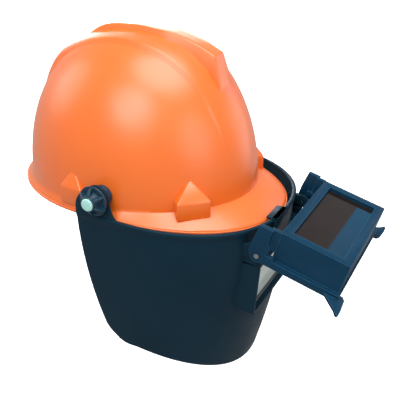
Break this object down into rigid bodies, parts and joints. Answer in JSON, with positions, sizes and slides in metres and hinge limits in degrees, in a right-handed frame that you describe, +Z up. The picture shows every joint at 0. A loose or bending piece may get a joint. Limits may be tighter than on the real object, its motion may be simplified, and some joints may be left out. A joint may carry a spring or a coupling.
{
  "type": "hard hat with welding mask",
  "caption": "Orange hard hat with a lift-up welding mask and a flip-up dark filter holder over its clear window.",
  "frame": {"origin": "middle of the head opening, on the plane of the brim", "axes": "+X to the wearer's left, -Y the way the wearer faces, +Z up through the crown"},
  "size_m": [0.2458, 0.3647, 0.332],
  "materials": {
    "orange_shell": "gloss",
    "mask_plastic": "satin",
    "holder_plastic": "satin",
    "black_plastic": "satin",
    "clear_window": "clear",
    "dark_glass": "polished",
    "grey_rubber": "matte",
    "mint_cap": "satin",
    "steel": "satin"
  },
  "bodies": {
    "hat": {"hat_shell": "orange_shell", "pivot_bolt_left": "steel", "pivot_bolt_right": "steel", "pivot_spacer_left": "black_plastic", "pivot_spacer_right": "black_plastic"},
    "knob_l": {"knob_left": "black_plastic", "knob_cap_left": "mint_cap"},
    "knob_r": {"knob_right": "black_plastic", "knob_cap_right": "mint_cap"},
    "mask": {"mask_shell": "mask_plastic", "window_pane": "clear_window", "window_gasket": "grey_rubber"},
    "holder": {"lens_holder": "holder_plastic", "filter_glass": "dark_glass", "filter_retainer": "mask_plastic", "hinge_pin_left": "steel", "hinge_pin_right": "steel"}
  },
  "joints": [
    {"name": "mask_lift", "type": "hinge", "parent": "hat", "child": "mask", "pos_m": [0, -0.0152, 0.0193], "axis": [-1, 0, 0], "range_deg": [0, 85]},
    {"name": "holder_flip", "type": "hinge", "parent": "mask", "child": "holder", "pos_m": [0, -0.1499, -0.0232], "axis": [1, 0, 0], "range_deg": [0, 79.3]},
    {"name": "knob_turn_left", "type": "hinge", "parent": "hat", "child": "knob_l", "pos_m": [0.1149, -0.0152, 0.0193], "axis": [1, 0, 0], "range_deg": [-180, 180]},
    {"name": "knob_turn_right", "type": "hinge", "parent": "hat", "child": "knob_r", "pos_m": [-0.1149, -0.0152, 0.0193], "axis": [1, 0, 0], "range_deg": [-180, 180]}
  ]
}
